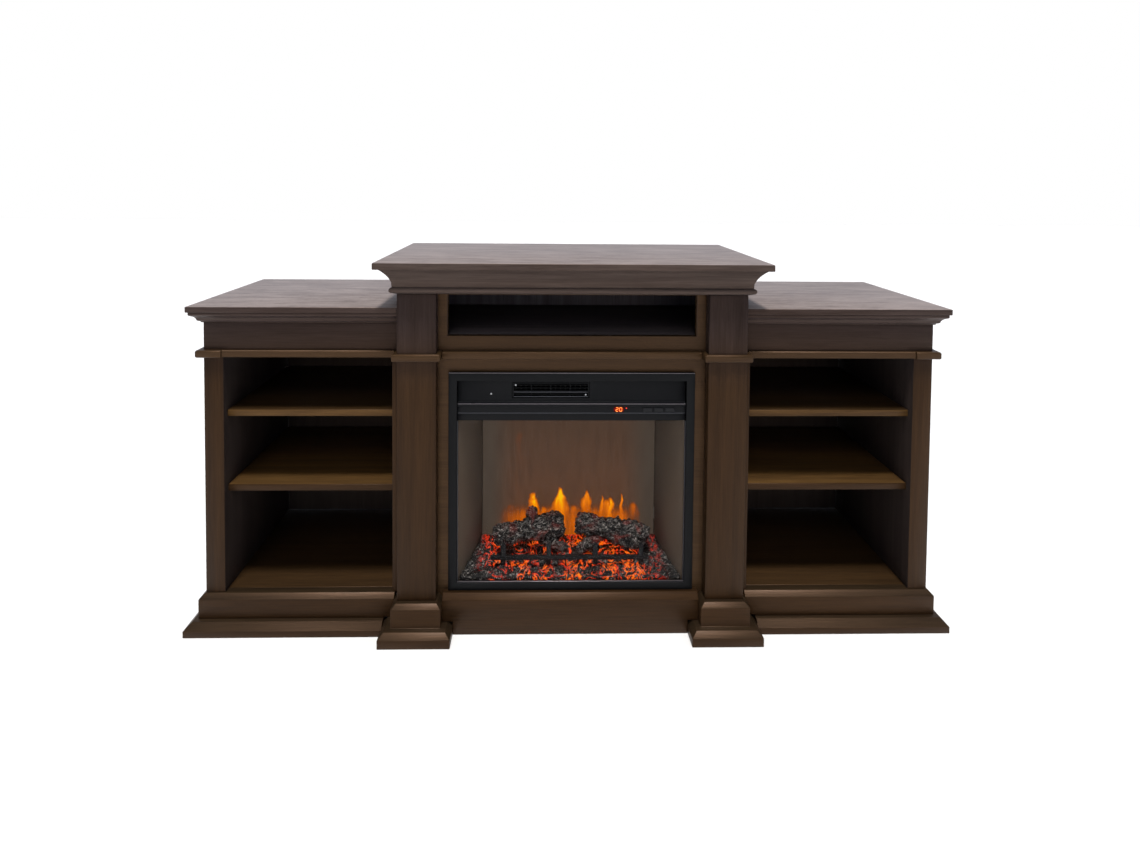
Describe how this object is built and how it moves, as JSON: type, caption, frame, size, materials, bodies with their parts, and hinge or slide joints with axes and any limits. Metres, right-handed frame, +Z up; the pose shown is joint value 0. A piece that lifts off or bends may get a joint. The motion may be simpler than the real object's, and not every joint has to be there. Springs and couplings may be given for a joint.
{
  "type": "electric fireplace",
  "caption": "Dark wood media-console fireplace: a glowing electric log insert under a media niche, between shelved wings with plinths and cornices.",
  "frame": {"origin": "middle of the footprint, on the floor", "axes": "+X to the console's right as seen from the front, +Y to the wall, +Z up"},
  "size_m": [1.834, 0.483, 0.897],
  "materials": {
    "walnut": "dark walnut stain, satin lacquer",
    "walnut_top": "dark walnut stain, satin lacquer, lit from above",
    "back_board": "thin dark stained fibreboard",
    "black_sheet": "satin black powder coat",
    "black_plastic": "satin black",
    "display_red": "dark red lens with lit digits",
    "smoked_glass": "clear tempered, slightly smoked",
    "flame_screen": "frosted, lit from behind",
    "ember_resin": "translucent, lit from below, dusted with ash",
    "charred_resin": "hand-painted charred bark",
    "bright_aluminium": "bright rolled",
    "motor_steel": "plated",
    "heater_ceramic": "matt ceramic and aluminium fins"
  },
  "bodies": {
    "console": {"centre_top": "walnut_top", "crown_moulding": "walnut", "centre_face_frame": "walnut", "centre_belt": "walnut", "apron": "walnut", "media_shelf": "walnut", "centre_back": "back_board", "insert_floor": "walnut", "centre_side_left": "walnut", "pilaster_left": "walnut", "pilaster_plinth_left": "walnut", "pilaster_band_left": "walnut", "wing_top_left": "walnut_top", "wing_cornice_left": "walnut", "wing_side_outer_left": "walnut", "wing_side_inner_left": "walnut", "wing_frieze_left": "walnut", "wing_belt_left": "walnut", "wing_plinth_left": "walnut", "wing_base_left": "walnut", "wing_bottom_left": "walnut", "wing_back_left": "back_board", "centre_side_right": "walnut", "pilaster_right": "walnut", "pilaster_plinth_right": "walnut", "pilaster_band_right": "walnut", "wing_top_right": "walnut_top", "wing_cornice_right": "walnut", "wing_side_outer_right": "walnut", "wing_side_inner_right": "walnut", "wing_frieze_right": "walnut", "wing_belt_right": "walnut", "wing_plinth_right": "walnut", "wing_base_right": "walnut", "wing_bottom_right": "walnut", "wing_back_right": "back_board", "insert_casing": "black_sheet", "trim_frame": "black_sheet", "outlet_grille": "black_sheet", "ember_grate": "black_sheet", "control_fascia": "black_plastic", "cord_gland": "black_plastic", "display_lens": "display_red", "glass_front": "smoked_glass", "flame_screen": "flame_screen", "ember_bed": "ember_resin", "log_left": "charred_resin", "log_right": "charred_resin", "rotor_motor": "motor_steel", "blower_motor": "motor_steel", "heating_element": "heater_ceramic"},
    "power_button": {"power_button": "black_plastic"},
    "up_button": {"up_button": "black_plastic"},
    "down_button": {"down_button": "black_plastic"},
    "flame_rotor": {"flame_rotor": "bright_aluminium"},
    "blower_wheel": {"blower_wheel": "bright_aluminium"},
    "shelf_upper_left": {"shelf_upper_left": "walnut"},
    "shelf_upper_right": {"shelf_upper_right": "walnut"},
    "shelf_lower_left": {"shelf_lower_left": "walnut"},
    "shelf_lower_right": {"shelf_lower_right": "walnut"}
  },
  "joints": [
    {"name": "power_press", "type": "slide", "parent": "console", "child": "power_button", "axis": [0, 1, 0], "range_m": [0, 0.001], "stiffness_N_per_m": 400},
    {"name": "up_press", "type": "slide", "parent": "console", "child": "up_button", "axis": [0, 1, 0], "range_m": [0, 0.001], "stiffness_N_per_m": 400},
    {"name": "down_press", "type": "slide", "parent": "console", "child": "down_button", "axis": [0, 1, 0], "range_m": [0, 0.001], "stiffness_N_per_m": 400},
    {"name": "rotor_spin", "type": "hinge", "parent": "console", "child": "flame_rotor", "pos_m": [0, 0.0105, 0.195], "axis": [1, 0, 0], "continuous": true},
    {"name": "blower_spin", "type": "hinge", "parent": "console", "child": "blower_wheel", "pos_m": [-0.051, -0.0935, 0.578], "axis": [1, 0, 0], "continuous": true},
    {"name": "shelf_upper_left_slide", "type": "slide", "parent": "console", "child": "shelf_upper_left", "axis": [0, -1, 0], "range_m": [0, 0.14]},
    {"name": "shelf_upper_right_slide", "type": "slide", "parent": "console", "child": "shelf_upper_right", "axis": [0, -1, 0], "range_m": [0, 0.14]},
    {"name": "shelf_lower_left_slide", "type": "slide", "parent": "console", "child": "shelf_lower_left", "axis": [0, -1, 0], "range_m": [0, 0.14]},
    {"name": "shelf_lower_right_slide", "type": "slide", "parent": "console", "child": "shelf_lower_right", "axis": [0, -1, 0], "range_m": [0, 0.14]}
  ]
}
